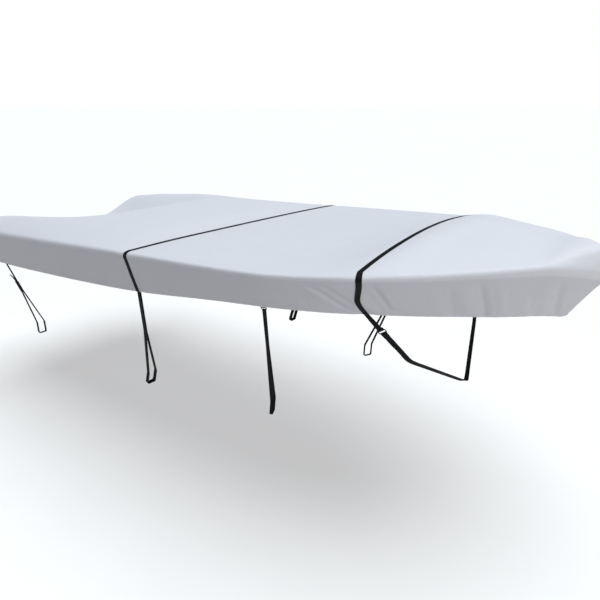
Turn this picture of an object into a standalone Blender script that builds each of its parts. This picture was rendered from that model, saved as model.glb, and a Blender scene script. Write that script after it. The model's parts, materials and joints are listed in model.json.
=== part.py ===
"""Fitted cover for an open aluminium boat of about four metres, with its tie-down webbing.

Metres, +X towards the bow, +Y to port, +Z up. The origin is the mount under the top, on the
centre line amidships. The boat, its motor and its trailer are not part of the model: the cover
keeps the shape that it takes over them. Heights in the tables are above the ground on which
that trailer stands, and `lift` brings them into the part's own frame.
"""
import math

import bmesh
import bpy
from mathutils import Vector

# ---- driving dimensions -------------------------------------------------------------------
CLOTH = 0.002            # thickness of the coated polyester in this model
GAP = 0.0003             # room between pieces that touch
STERN = -1.85            # x of the transom edge
BOW = 2.05               # x of the tip of the top
ROLL = 0.021             # size of the rounded shoulder between top and skirt
TENTED = (1.36, 1.56)    # where the crown of the top turns into a ridge towards the bow
ROUNDED = (1.86, 1.97)   # and where that ridge turns into the rounded nose
LIP_PLUMB = 0.8          # how far the lip of the top hangs straight down, and not as the skirt
STRAP_SOFTENS = 0.016    # how much further in the shoulder starts under a strap
STRAP_PULL = 0.010       # how far the fore strap draws the hem in
STRAYS = {"aft": (-0.009, -0.006), "fore": (-0.013, 0.038)}   # of the straps, down a skirt
HOLLOW_FLOOR = 0.22      # half width of the hollow's floor, in front of the motor
HOLLOW_BRIM = 0.71       # and of its brim
HEM = 0.022              # height of the elastic hem casing
HEM_TUCK = 0.006         # how far the elastic draws the hem in
WEB_WIDTH = 0.025        # tie-down webbing
WEB = 0.0016
SHOULDER_STEPS = (0.34, 0.67)                    # places along the rounded shoulder
SKIRT_STEPS = (0.18, 0.38, 0.60, 0.80)           # places down the skirt, above the hem casing
ACROSS = (0.0, 0.13, 0.28, 0.43, 0.58, 0.72, 0.84, 0.93, 1.0)   # half of the top
STRAP_AFT = 0.132        # x where the aft strap crosses the edge
STRAP_FORE = 1.372       # x where the fore strap crosses the edge
AFT_HALF = 0.0125        # half their width, measured along x
FORE_HALF = 0.011

# One row for each section: its place, the half beam and height of the edge, how far the top
# is crowned above the edge and hollowed along its middle, how far the seam lies below the
# edge, and where its hem hangs.
SECTION_COLUMNS = (
    "x", "half_beam", "edge", "crown", "trough", "drop", "hem_x", "hem_beam", "hem")
SECTIONS = (
    (-1.850, 0.740, 1.094, 0.097, 0.187, 0.030, -1.824, 0.732, 0.880),
    (-1.845, 0.770, 1.094, 0.097, 0.187, 0.030, -1.821, 0.750, 0.880),
    (-1.825, 0.792, 1.095, 0.097, 0.187, 0.030, -1.808, 0.764, 0.881),
    (-1.780, 0.803, 1.097, 0.098, 0.187, 0.030, -1.772, 0.774, 0.883),
    (-1.500, 0.828, 1.113, 0.121, 0.190, 0.030, -1.498, 0.796, 0.897),
    (-1.100, 0.848, 1.141, 0.127, 0.156, 0.030, -1.098, 0.811, 0.921),
    (-0.600, 0.861, 1.177, 0.088, 0.004, 0.030, -0.598, 0.815, 0.954),
    (-0.100, 0.866, 1.212, 0.048, 0.000, 0.030, -0.099, 0.808, 0.989),
    (0.145, 0.866, 1.228, 0.010, 0.000, 0.030, 0.143, 0.798, 1.009),
    (0.660, 0.857, 1.253, 0.016, 0.000, 0.026, 0.650, 0.748, 1.058),
    (0.940, 0.840, 1.268, 0.012, 0.000, 0.024, 0.915, 0.712, 1.077),
    (1.150, 0.799, 1.283, 0.034, 0.000, 0.023, 1.105, 0.663, 1.088),
    (1.365, 0.729, 1.302, 0.100, 0.000, 0.023, 1.290, 0.578, 1.093),
    (1.500, 0.646, 1.311, 0.120, 0.000, 0.024, 1.410, 0.496, 1.092),
    (1.620, 0.553, 1.319, 0.104, 0.000, 0.026, 1.515, 0.417, 1.090),
    (1.740, 0.450, 1.328, 0.080, 0.000, 0.030, 1.622, 0.331, 1.089),
    (1.850, 0.333, 1.335, 0.061, 0.000, 0.036, 1.718, 0.256, 1.088),
    (1.900, 0.277, 1.337, 0.059, 0.000, 0.038, 1.768, 0.206, 1.087),
    (1.930, 0.236, 1.334, 0.061, 0.000, 0.040, 1.801, 0.170, 1.085),
    (1.960, 0.186, 1.329, 0.063, 0.000, 0.042, 1.831, 0.132, 1.083),
    (1.990, 0.130, 1.320, 0.066, 0.000, 0.044, 1.862, 0.092, 1.079),
    (2.010, 0.091, 1.312, 0.065, 0.000, 0.045, 1.883, 0.065, 1.076),
    (2.030, 0.052, 1.302, 0.053, 0.000, 0.046, 1.904, 0.039, 1.072),
    (2.042, 0.026, 1.294, 0.032, 0.000, 0.046, 1.917, 0.020, 1.069),
    (BOW, 0.000, 1.290, 0.000, 0.000, 0.046, 1.926, 0.000, 1.068),
)

# x of every cross row of the top, and of every upright row of a side skirt
TOP_ROWS = (-1.850, -1.845, -1.825, -1.780, -1.65, -1.50, -1.35, -1.22, -1.10, -0.98, -0.86,
            -0.74, -0.60, -0.42, -0.24, -0.06, STRAP_AFT - AFT_HALF, STRAP_AFT + AFT_HALF, 0.36,
            0.56, 0.74, 0.88, 0.98, 1.07, 1.15, 1.22, 1.29, STRAP_FORE - FORE_HALF,
            STRAP_FORE + FORE_HALF, 1.44, 1.51, 1.58, 1.65, 1.72, 1.79, 1.85, 1.90, 1.935,
            1.965, 1.99, 2.01, 2.026, 2.038, 2.046, BOW)
CREASED = (1.12, 2.01, 0.020)    # where the skirts get more rows: from, to, and how far apart


def column(name):
    """One named column of the section table."""
    place = SECTION_COLUMNS.index(name)
    return [row[place] for row in SECTIONS]


def monotone_slopes(xs, ys):
    """Slopes of a smooth curve through the points that never overshoots them."""
    steps = [(ys[i + 1] - ys[i]) / (xs[i + 1] - xs[i]) for i in range(len(xs) - 1)]
    slopes = [steps[0]]
    for before, after in zip(steps, steps[1:]):
        same_way = before * after > 0
        slopes.append(2 * before * after / (before + after) if same_way else 0.0)
    slopes.append(steps[-1])
    return slopes


STATION_X = column("x")
CURVES = {}
for column_name in SECTION_COLUMNS[1:]:
    values = column(column_name)
    CURVES[column_name] = (values, monotone_slopes(STATION_X, values))


def at(name, x):
    """A column of the section table, read smoothly at any x."""
    values, slopes = CURVES[name]
    x = min(max(x, STATION_X[0]), STATION_X[-1])
    i = max(k for k in range(len(STATION_X) - 1) if STATION_X[k] <= x)
    span = STATION_X[i + 1] - STATION_X[i]
    t = (x - STATION_X[i]) / span
    return ((1 + 2 * t) * (1 - t) ** 2 * values[i] + t * (1 - t) ** 2 * span * slopes[i]
            + t * t * (3 - 2 * t) * values[i + 1] + t * t * (t - 1) * span * slopes[i + 1])


def ramp(value, start, end):
    """0 before start, 1 after end, and a soft step between them."""
    t = min(max((value - start) / (end - start), 0.0), 1.0)
    return t * t * (3 - 2 * t)


def top_height(x, y):
    """Height of the outside of the top above the ground."""
    side = min(abs(y) / max(at("half_beam", x), 1e-6), 1.0)
    fullness = 4.0 - 2.0 * ramp(x, 0.2, 1.2) - 0.8 * ramp(x, *TENTED) + ramp(x, *ROUNDED)
    hollow = 1 - ramp(abs(y), HOLLOW_FLOOR, HOLLOW_BRIM)
    return at("edge", x) + at("crown", x) * (1 - side ** fullness) - at("trough", x) * hollow


MOUNT_HEIGHT = top_height(0.0, 0.0) - CLOTH


def lift(point):
    """From a height above the ground to the part's own frame."""
    return Vector((point[0], point[1], point[2] - MOUNT_HEIGHT))


# ---- the edge of the cover: shoulder, seam, skirt and hem -----------------------------------
# Soft folds in a side skirt: where each starts at the seam and ends at the hem (x of the edge
# above it), its half width, how deep it is, and the part of the skirt it runs down (0 is the
# seam, 1 the hem). A negative depth stands proud.
FOLD_COLUMNS = ("x_seam", "x_hem", "half_width", "depth", "first", "last")
FOLDS = (
    (-0.100, -0.060, 0.070, 0.0030, 0.30, 0.62),
    (1.125, 1.310, 0.020, -0.0020, 0.20, 0.80),
    (1.162, 1.347, 0.020, 0.0045, 0.18, 0.88),
    (1.212, 1.388, 0.018, 0.0035, 0.12, 0.74),
    (1.364, 1.451, 0.018, 0.0030, 0.25, 0.90),
    (1.402, 1.484, 0.022, 0.0050, 0.15, 0.86),
    (1.445, 1.520, 0.022, -0.0020, 0.20, 0.80),
    (1.624, 1.695, 0.026, 0.0030, 0.22, 0.96),
    (1.678, 1.752, 0.018, -0.0020, 0.25, 0.90),
    (1.716, 1.815, 0.022, 0.0055, 0.16, 0.98),
    (1.775, 1.875, 0.022, -0.0030, 0.25, 0.92),
    (1.896, 1.962, 0.020, 0.0030, 0.45, 0.95),
    (1.942, 2.017, 0.018, 0.0040, 0.20, 0.95),
)


def edge_place(x):
    """A point of the starboard edge and the level direction that points out of it."""
    if x >= BOW:
        return Vector((BOW, 0.0)), Vector((1.0, 0.0))
    reach = 0.0005
    before = max(x - reach, STERN)
    after = min(x + reach, BOW)
    fall = (at("half_beam", after) - at("half_beam", before)) / (after - before)
    return Vector((x, -at("half_beam", x))), Vector((-fall, -1.0)).normalized()


def fold_depth(x, down):
    """How far the skirt is drawn in by its folds at x, a share `down` of the way to the hem."""
    total = 0.0
    for row in FOLDS:
        fold = dict(zip(FOLD_COLUMNS, row))
        middle = fold["x_seam"] + (fold["x_hem"] - fold["x_seam"]) * down
        near = math.exp(-((x - middle) / fold["half_width"]) ** 2)
        run = ramp(down, fold["first"] - 0.12, fold["first"] + 0.12)
        run *= 1 - ramp(down, fold["last"] - 0.08, fold["last"] + 0.08)
        total += fold["depth"] * near * run
    return total


def near_strap(x, strap, spread):
    """1 at a strap over the cover, fading to 0 a spread away from it."""
    return math.exp(-((x - strap) / spread) ** 2)


def stray(strap, share):
    """How far along x a strap has strayed from its place, a share of the way down the skirt."""
    first, last = STRAYS[strap]
    return first * ramp(share, 0.0, 0.6) + last * ramp(share, 0.5, 1.2)


def edge_profile(place, outward, x, foot):
    """Points of the cloth's outside from the top, over the shoulder and down to the hem.

    `foot` is where the hem hangs. Each point comes with the way the cloth runs on there.
    """
    level = Vector((outward.x, outward.y, 0.0))
    softened = near_strap(x, STRAP_AFT, 0.040) + near_strap(x, STRAP_FORE, 0.040)
    roll_in = ROLL + STRAP_SOFTENS * softened
    inner = place - outward * roll_in
    reach = 0.004
    height = top_height(inner.x, inner.y)
    behind = inner - outward * reach
    slope = (height - top_height(behind.x, behind.y)) / reach
    start = Vector((inner.x, inner.y, height))
    blunt = ramp(x, *ROUNDED)
    rise = (height + slope * roll_in) * (1 - blunt) + at("edge", x) * blunt
    corner = Vector((place.x, place.y, rise))
    lean = (foot - corner).normalized()
    plumb = (lean * (1 - LIP_PLUMB) - Vector((0.0, 0.0, LIP_PLUMB))).normalized()
    end = corner + plumb * ROLL
    points = []
    for t in (0.0,) + SHOULDER_STEPS + (1.0,):
        point = start * (1 - t) ** 2 + corner * 2 * t * (1 - t) + end * t * t
        points.append((point, (corner - start) * (1 - t) + (end - corner) * t))
    seam = corner + plumb * at("drop", x)
    down = (foot - seam).normalized()
    length = (foot - seam).length
    hem_start = 1 - HEM / length
    mitre = (plumb + down).normalized()
    points.append((seam - plumb * GAP, mitre))
    points.append((seam + down * GAP, mitre))
    for share in SKIRT_STEPS + (hem_start, 1.0):
        inward = fold_depth(x, share) + HEM_TUCK * ramp(share, hem_start - 0.05, 1.05)
        pulled = near_strap(x, STRAP_FORE + stray("fore", share), 0.040)
        inward += STRAP_PULL * pulled * ramp(share, 0.70, 1.0)
        points.append((seam + down * length * share - level * inward, down))
    return points


TOP_RINGS = 5            # shoulder points and the top's side of the seam


def squared(before, middle, after):
    """The middle of three neighbouring profiles, each point with the way out of the cloth."""
    result = []
    for (first, _), (point, run), (last, _) in zip(before, middle, after):
        result.append((point, run.cross(last - first).normalized()))
    return result


def side_profile(x):
    """The edge of the starboard side at x."""
    def profile(place_x):
        place, outward = edge_place(place_x)
        foot = Vector((at("hem_x", place_x), -at("hem_beam", place_x), at("hem", place_x)))
        return edge_profile(place, outward, place_x, foot)
    reach = 0.0015
    before = profile(max(x - reach, STERN))
    if x >= BOW:
        return squared(before, profile(BOW), mirrored(before))
    return squared(before, profile(x), profile(min(x + reach, BOW)))


def stern_profile(share):
    """The edge of the transom, `share` of the way from its middle to a corner."""
    corner, outward = edge_place(STERN)
    inner = corner - outward * ROLL
    fall = at("edge", STERN) - at("hem", STERN)

    def profile(y):
        place = Vector((inner.x - ROLL, y))
        height = top_height(place.x, y)
        draw = at("hem_beam", STERN) / at("half_beam", STERN)
        foot = Vector((at("hem_x", STERN), y * draw, height - fall))
        return edge_profile(place, Vector((-1.0, 0.0)), STERN, foot)
    reach = 0.002
    y = share * abs(inner.y)
    return squared(profile(y + reach), profile(y), profile(y - reach))


def mirrored(pairs):
    """The same points and directions on the port side."""
    flip = Vector((1, -1, 1))
    return [(point * flip, facing * flip) for point, facing in pairs]


def top_row(x):
    """Points across the top at a station, from the starboard edge to the port edge."""
    edge = side_profile(x)[0]
    row = []
    for share in ACROSS[:-1]:
        place = (edge[0].x, edge[0].y * share)
        reach = 0.002
        slope_x = top_height(place[0] + reach, place[1]) - top_height(place[0] - reach, place[1])
        slope_y = top_height(place[0], place[1] + reach) - top_height(place[0], place[1] - reach)
        facing = Vector((-slope_x, -slope_y, 2 * reach)).normalized()
        row.append((Vector((*place, top_height(*place))), facing))
    starboard = [edge] + row[:0:-1]
    return starboard + [row[0]] + mirrored(starboard)[::-1]


# ---- making the solids ----------------------------------------------------------------------
def material(name, colour, roughness, metallic=0.0):
    """A plain Principled material; the colour is linear."""
    made = bpy.data.materials.new(name)
    made.use_nodes = True
    shader = made.node_tree.nodes["Principled BSDF"]
    shader.inputs["Base Color"].default_value = (*colour, 1.0)
    shader.inputs["Roughness"].default_value = roughness
    shader.inputs["Metallic"].default_value = metallic
    return made


def add_object(name, mesh_data, finish, smooth=True):
    """Close a bmesh into an object with its material."""
    bmesh.ops.recalc_face_normals(mesh_data, faces=mesh_data.faces)
    if mesh_data.calc_volume(signed=True) < 0:
        bmesh.ops.reverse_faces(mesh_data, faces=mesh_data.faces)
    mesh = bpy.data.meshes.new(name)
    mesh_data.to_mesh(mesh)
    mesh_data.free()
    mesh.materials.append(finish)
    if smooth:
        mesh.shade_smooth()
        mesh.set_sharp_from_angle(angle=math.radians(40))
    made = bpy.data.objects.new(name, mesh)
    bpy.context.collection.objects.link(made)
    return made


class Cloth:
    """An open sheet of quads between rows of points, thickened inwards when it is done."""

    def __init__(self):
        self.mesh = bmesh.new()
        self.known = {}
        self.inner = {}

    def vertex(self, pair):
        """The vertex at a point, made once for every row that passes through it."""
        point, facing = pair
        key = tuple(round(value * 1e5) for value in point)
        if key not in self.known:
            made = self.mesh.verts.new(lift(point))
            self.known[key] = made
            self.inner[made] = lift(point - facing * CLOTH)
        return self.known[key]

    def add_rows(self, rows):
        """Quads between neighbouring rows, or triangles where their ends meet."""
        grid = [[self.vertex(pair) for pair in row] for row in rows]
        for first, second in zip(grid, grid[1:]):
            for i in range(len(first) - 1):
                corners = [first[i], first[i + 1], second[i + 1], second[i]]
                corners = list(dict.fromkeys(corners))
                if len(corners) > 2:
                    self.mesh.faces.new(corners)

    def finish(self, name, finish):
        """Give the sheet its thickness and make it an object."""
        outside = list(self.mesh.verts)
        kept = bmesh.ops.extrude_face_region(
            self.mesh, geom=list(self.mesh.faces), use_keep_orig=True)
        copies = [item for item in kept["geom"] if isinstance(item, bmesh.types.BMVert)]
        places = {tuple(vertex.co): self.inner[vertex] for vertex in outside}
        for copy in copies:
            copy.co = places[tuple(copy.co)]
        return add_object(name, self.mesh, finish)


def trimmed(rows):
    """The same rows with the two end rows drawn in, to leave room at the seams."""
    def drawn(row, towards):
        result = []
        for (point, facing), (other, _) in zip(row, towards):
            away = other - point
            result.append((point + away * (GAP / 2 / max(away.length, GAP)), facing))
        return result
    return [drawn(rows[0], rows[1])] + rows[1:-1] + [drawn(rows[-1], rows[-2])]


# ---- the cloth ------------------------------------------------------------------------------
def skirt_stations():
    """x of the upright rows of a side skirt, close together where it is creased."""
    first, last, apart = CREASED
    between = [first + i * apart for i in range(int((last - first) / apart) + 1)]
    spare = [x for x in between if min(abs(x - row) for row in TOP_ROWS) > apart * 0.3]
    return sorted(TOP_ROWS + tuple(spare), reverse=True)


def skirt_rows():
    """Upright rows of the starboard skirt, whose seam follows the straight facets of the top."""
    rows = {x: side_profile(x)[TOP_RINGS:] for x in skirt_stations()}
    for x in rows:
        if x not in TOP_ROWS:
            before = max(row for row in TOP_ROWS if row < x)
            after = min(row for row in TOP_ROWS if row > x)
            share = (x - before) / (after - before)
            point, facing = rows[before][0]
            other, other_facing = rows[after][0]
            rows[x][0] = (point.lerp(other, share), facing.lerp(other_facing, share))
    return list(rows.values())


def make_top(finish):
    """The crowned top with its rounded shoulder, down to the seam."""
    cloth = Cloth()
    rows = []
    for x in TOP_ROWS:
        edge = side_profile(x)[1:TOP_RINGS]
        rows.append(edge[::-1] + top_row(x) + mirrored(edge))
    cloth.add_rows(rows)
    corner = side_profile(STERN)[:TOP_RINGS]
    half = [stern_profile(share)[:TOP_RINGS] for share in ACROSS[:-1]]
    across = [corner] + [mirrored(row) for row in half[:0:-1]] + half + [mirrored(corner)]
    cloth.add_rows(across)
    return cloth.finish("top_panel", finish)


def make_skirts(finish):
    """Both side skirts, which meet at the stem, and the stern skirt between their corners."""
    starboard = skirt_rows()
    for name, rows in (("skirt_starboard", starboard),
                       ("skirt_port", [mirrored(row) for row in starboard])):
        cloth = Cloth()
        cloth.add_rows(trimmed(rows))
        cloth.finish(name, finish)
    half = [stern_profile(share)[TOP_RINGS:] for share in ACROSS[:-1]]
    corner = starboard[-1]
    rows = [corner] + [mirrored(row) for row in half[:0:-1]] + half + [mirrored(corner)]
    cloth = Cloth()
    cloth.add_rows(trimmed(rows))
    cloth.finish("skirt_stern", finish)


# ---- the webbing ----------------------------------------------------------------------------
RAIL_TOP = 0.457         # the trailer's rail that the legs go round, which is left out
RAIL_DEPTH = 0.075
RAIL_HALF = 0.024
RAIL_BEND = 0.006        # how the legs round its corners
REST = 0.0005            # room between webbing and the cloth under or over it
BAR = 0.004              # thickness of the loops' bars
BAR_SIDES = 8            # facets round a bar
ROUND_BAR = BAR / 2 + REST       # inside radius of webbing folded round a bar
SEWN = 0.012             # a strap's end, folded round a bar and sewn
STRAY_ROOM = 0.0012      # more room where a strap strays from the rows of the skirt
TAIL_GAP = 0.0006        # between two layers of webbing
LONG_STEP = 0.11         # longest facet of a straight but twisted length of webbing

# The hard loops: between the middles of the upper and lower bars, and the half length of each.
LOOP_COLUMNS = ("name", "bars", "upper_half", "lower_half")
LOOPS = (
    ("ring", 0.0125, 0.0155, 0.0155),
    ("slide", 0.018, 0.0160, 0.0160),
    ("tab", 0.0115, 0.0150, 0.0105),
)

# The legs to the trailer: x of the edge they hang from, how far the middle of their hard loop
# is below the hem, the middle of the rail's top, the rail's turn in plan, the webbing's width,
# how far below the loop its two sides part, and its free end.
LEG_COLUMNS = (
    "name", "loop", "x", "below_hem", "rail_x", "rail_y", "turn", "width", "parted", "tail")
LEGS = (
    ("stern", "ring", -1.325, 0.135, -1.300, -0.642, 0.0, 0.025, 0.08, 0.075),
    ("aft", "ring", STRAP_AFT + stray("aft", 1.0), 0.020, -0.052, -0.642, 0.0, 0.025, 0.25, 0.0),
    ("mid", "tab", 0.907, 0.0101, 0.705, -0.457, 26.0, 0.016, 0.25, 0.0),
)
STERN_END = 0.050        # free end of the stern strap, standing up outside its ring

# Under the hull the fore strap follows these points of it, each with the way the hull runs on
# towards the bow there, which is the way of the webbing's width.
SLIDE_PLACE = Vector((1.349, -0.495, 1.010))
HULL_SIDE = Vector((0.857, 0.514, 0.05))
HULL = (
    (Vector((1.399, -0.388, 0.880)), HULL_SIDE),
    (Vector((1.409, -0.360, 0.847)), Vector((0.83, 0.55, 0.09))),
    (Vector((1.421, -0.328, 0.826)), Vector((0.79, 0.60, 0.13))),
    (Vector((1.527, -0.024, 0.655)), Vector((0.86, 0.46, 0.18))),
    (Vector((1.533, 0.0, 0.648)), Vector((0.98, 0.0, 0.20))),
)
FORE_TAIL = 0.105        # free end of the fore strap


class Frame:
    """A place on a strap: its middle, the way down it, its width and the way out of it."""

    def __init__(self, middle, down, width):
        self.middle = middle
        self.down = down.normalized()
        self.width = (width - self.down * self.down.dot(width)).normalized()
        self.out = self.down.cross(self.width)

    def spot(self, down, out):
        """The point this far down the strap and this far out of it."""
        return self.middle + self.down * down + self.out * out

    def round_bar(self, bar, radius, first, last, steps):
        """Points round a bar, by angle from straight out, turning towards straight down."""
        points = []
        for i in range(steps + 1):
            angle = math.radians(first + (last - first) * i / steps)
            points.append(self.spot(bar + radius * math.sin(angle), radius * math.cos(angle)))
        return points


def filled_in(points, widths):
    """The same line of points and widths, with more of them along its long stretches."""
    line, across = [points[0]], [widths[0]]
    for i in range(1, len(points)):
        steps = math.ceil((points[i] - points[i - 1]).length / LONG_STEP)
        for k in range(1, steps + 1):
            line.append(points[i - 1].lerp(points[i], k / steps))
            across.append(widths[i - 1].lerp(widths[i], k / steps))
    return line, across


def strip(points, widths, breadth, closed=False):
    """Guide of webbing whose face passes through the points, its thickness to the left.

    Each entry of a guide is the two edges of that face and the way to the other face.
    """
    if closed:
        points, widths = filled_in(points + points[:1], widths + widths[:1])
        points, widths = points[:-1], widths[:-1]
    else:
        points, widths = filled_in(points, widths)
    guide = []
    last = len(points) - 1
    for i, (point, width) in enumerate(zip(points, widths)):
        before = points[i - 1] if i > 0 or closed else point
        after = points[(i + 1) % len(points)] if i < last or closed else point
        run = (after - before).normalized()
        side = (width - run * run.dot(width)).normalized()
        half = side * (breadth / 2)
        guide.append((point - half, point + half, run.cross(side)))
    return guide


def port_side(guide):
    """The same webbing on the port side, followed the other way."""
    flip = Vector((1, -1, 1))
    return [(left * flip, right * flip, out * flip) for left, right, out in guide[::-1]]


def cloth_strip(strap, x, half):
    """Guide of webbing across the cover: up the starboard skirt, over the top, down to port."""
    shares = (0.0,) * (TOP_RINGS + 1) + SKIRT_STEPS + (0.9, 1.0)
    lines = []
    for side_x in (x - half, x + half):
        edge = []
        for i, share in enumerate(shares):
            point, facing = side_profile(side_x + stray(strap, share))[i]
            if i != TOP_RINGS:
                edge.append((point + facing * STRAY_ROOM * ramp(share, 0.0, 0.4), facing))
        lines.append(edge[:0:-1] + top_row(side_x) + mirrored(edge[1:]))
    guide = []
    for (left, left_out), (right, right_out) in zip(*lines):
        out = (left_out + right_out).normalized()
        guide.append((left + out * (REST + WEB), right + out * (REST + WEB), -out))
    return guide


def make_webbing(name, guide, finish, closed=False):
    """A strip of webbing along its guide."""
    made = bmesh.new()
    rings = []
    for left, right, out in guide:
        corners = (left, right, right + out * WEB, left + out * WEB)
        rings.append([made.verts.new(lift(corner)) for corner in corners])
    links = list(zip(rings, rings[1:]))
    if closed:
        links.append((rings[-1], rings[0]))
    for first, second in links:
        for i in range(4):
            j = (i + 1) % 4
            made.faces.new((first[i], first[j], second[j], second[i]))
    if not closed:
        made.faces.new(rings[0])
        made.faces.new(rings[-1][::-1])
    add_object(name, made, finish, smooth=False)


def make_loop(name, frame, kind, port, finish):
    """A hard loop of round bars in the strap's plane."""
    loop = next(dict(zip(LOOP_COLUMNS, row)) for row in LOOPS if row[0] == kind)
    made = bmesh.new()
    upper, lower, reach = loop["upper_half"], loop["lower_half"], loop["bars"] / 2
    rings = []
    for half, side, down in ((upper, -1, -1), (upper, 1, -1), (lower, 1, 1), (lower, -1, 1)):
        ring = []
        for i in range(BAR_SIDES):
            angle = math.tau * (i + 0.5) / BAR_SIDES
            grow, out = BAR / 2 * math.cos(angle), BAR / 2 * math.sin(angle)
            spot = frame.spot(down * (reach + grow), out) + frame.width * side * (half + grow)
            ring.append(made.verts.new(lift(spot * Vector((1, -1 if port else 1, 1)))))
        rings.append(ring)
    for first, second in zip(rings, rings[1:] + rings[:1]):
        for i in range(BAR_SIDES):
            j = (i + 1) % BAR_SIDES
            made.faces.new((first[i], first[j], second[j], second[i]))
    add_object(name, made, finish, smooth=False)


def loop_bars(kind):
    """Half the distance between the bars of a kind of loop."""
    return next(row[1] for row in LOOPS if row[0] == kind) / 2


def sewn_end(frame, bar, length):
    """Points of a strap's outer face from its end behind a bar, round the bar, to outside."""
    radius = ROUND_BAR + WEB
    turn = frame.round_bar(bar, radius, 180, 0, 6)
    return [frame.spot(bar - length, -radius)] + turn + [frame.spot(bar - 0.004, radius)]


def leg_guide(leg, frame, across, rail):
    """A leg: over the lower bar, down the outside of the rail, under it and back up."""
    bar = loop_bars(leg["loop"])
    side = RAIL_HALF + REST
    straight = (rail - frame.middle).normalized()
    rail_width = across.cross(straight).normalized()
    fall = rail_width.cross(across)
    part = frame.middle + straight * leg["parted"]

    def by_rail(down, out):
        return rail + fall * down + across * out
    loop = frame.round_bar(bar, ROUND_BAR, -180, 0, 6)
    loop += [part + across * ROUND_BAR]
    widths = [frame.width] * len(loop)
    loop += [by_rail(0.0, side), by_rail(RAIL_DEPTH - RAIL_BEND, side)]
    loop += [by_rail(RAIL_DEPTH, side - RAIL_BEND), by_rail(RAIL_DEPTH, RAIL_BEND - side)]
    loop += [by_rail(RAIL_DEPTH - RAIL_BEND, -side), by_rail(0.0, -side)]
    widths += [rail_width] * (len(loop) - len(widths))
    outer = ROUND_BAR + WEB + TAIL_GAP
    if leg["tail"]:
        loop = [frame.spot(bar + SEWN, -ROUND_BAR)] + loop
        widths = [frame.width] + widths
        loop += [part - across * outer]
        loop += frame.round_bar(bar, outer, -180, 0, 6)
        loop += [frame.spot(bar + leg["tail"] / 2, outer), frame.spot(bar + leg["tail"], outer)]
    else:
        loop += [part - across * ROUND_BAR]
    widths += [frame.width] * (len(loop) - len(widths))
    return strip(loop, widths, leg["width"], closed=not leg["tail"])


def stern_guide(frame):
    """The strap that hangs the stern ring, sewn inside the hem, with its end outside."""
    behind = CLOTH + 2 * REST + WEB
    profile = side_profile(LEGS[0][2])
    points = [point - facing * behind for point, facing in profile[-2:]]
    bar = -loop_bars("ring")
    radius = ROUND_BAR + WEB
    points += [frame.spot(bar - 0.004, -radius)] + frame.round_bar(bar, radius, 180, 0, 6)
    points += [frame.spot(bar - STERN_END / 2, radius + 0.003)]
    points += [frame.spot(bar - STERN_END, radius + 0.010)]
    return strip(points, [frame.width] * len(points), WEB_WIDTH)


def make_legs(webbing, plastic):
    """Every leg with the loop it hangs from, and what holds that loop."""
    for row in LEGS:
        leg = dict(zip(LEG_COLUMNS, row))
        turn = math.radians(leg["turn"])
        across = Vector((math.sin(turn), -math.cos(turn), 0.0))
        rail = Vector((leg["rail_x"], leg["rail_y"], RAIL_TOP))
        hem, facing = side_profile(leg["x"])[-1]
        start = hem - facing * (CLOTH / 2)
        down = (rail - start).normalized()
        width = across.cross(down)
        if leg["loop"] == "tab":
            width = (side_profile(leg["x"] + 0.01)[-1][0] - hem).normalized()
            down = (down - width * width.dot(down)).normalized()
        frame = Frame(start + down * leg["below_hem"], down, width)
        guide = leg_guide(leg, frame, across, rail)
        for side, port in (("starboard", False), ("port", True)):
            placed = port_side(guide) if port else guide
            name = leg["name"]
            make_webbing(f"leg_{name}_{side}", placed, webbing, closed=not leg["tail"])
            make_loop(f"{leg['loop']}_{name}_{side}", frame, leg["loop"], port, plastic)
            if name == "stern":
                placed = port_side(stern_guide(frame)) if port else stern_guide(frame)
                make_webbing(f"strap_{name}_{side}", placed, webbing)
        if leg["name"] == "aft":
            end = sewn_end(frame, -loop_bars("ring"), SEWN)
            end = strip(end, [frame.width] * len(end), WEB_WIDTH)
            over = end + cloth_strip("aft", STRAP_AFT, AFT_HALF) + port_side(end)
            make_webbing("over_strap_aft", over, webbing)


def make_fore_strap(webbing, plastic):
    """The fore strap: over the cover, round under the hull, and through its slide buckle."""
    chine = HULL[0][0]
    frame = Frame(SLIDE_PLACE, chine - SLIDE_PLACE, HULL_SIDE)
    half = loop_bars("slide")
    end = sewn_end(frame, -half, SEWN)
    guide = strip(end, [frame.width] * len(end), WEB_WIDTH)
    guide += cloth_strip("fore", STRAP_FORE, FORE_HALF)
    flip = Vector((1, -1, 1))
    points = [frame.spot(0.0, 0.0) * flip] + [point * flip for point, _ in HULL]
    widths = [frame.width * flip] + [along * flip for _, along in HULL]
    points += [point for point, _ in HULL[-2::-1]]
    widths += [along for _, along in HULL[-2::-1]]
    joined = TAIL_GAP / 2
    tail = [frame.spot(half + 0.035, -joined), frame.spot(half + 0.012, -ROUND_BAR)]
    tail += frame.round_bar(half, ROUND_BAR, -180, 0, 6)
    tail += [frame.spot(half + 0.012, ROUND_BAR), frame.spot(half + 0.035, joined)]
    tail += [frame.spot(half + FORE_TAIL, joined)]
    points += tail
    widths += [frame.width] * len(tail)
    guide += strip(points, widths, WEB_WIDTH)
    make_webbing("over_strap_fore", guide, webbing)
    make_loop("slide_fore", frame, "slide", False, plastic)


def main():
    """Build every piece."""
    for old in list(bpy.data.objects):
        bpy.data.objects.remove(old)
    cloth = material("coated_polyester", (0.47, 0.50, 0.55), 0.75)
    webbing = material("polypropylene_webbing", (0.012, 0.012, 0.014), 0.7)
    plastic = material("black_acetal", (0.015, 0.015, 0.016), 0.4)
    make_top(cloth)
    make_skirts(cloth)
    make_legs(webbing, plastic)
    make_fore_strap(webbing, plastic)


main()
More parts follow.
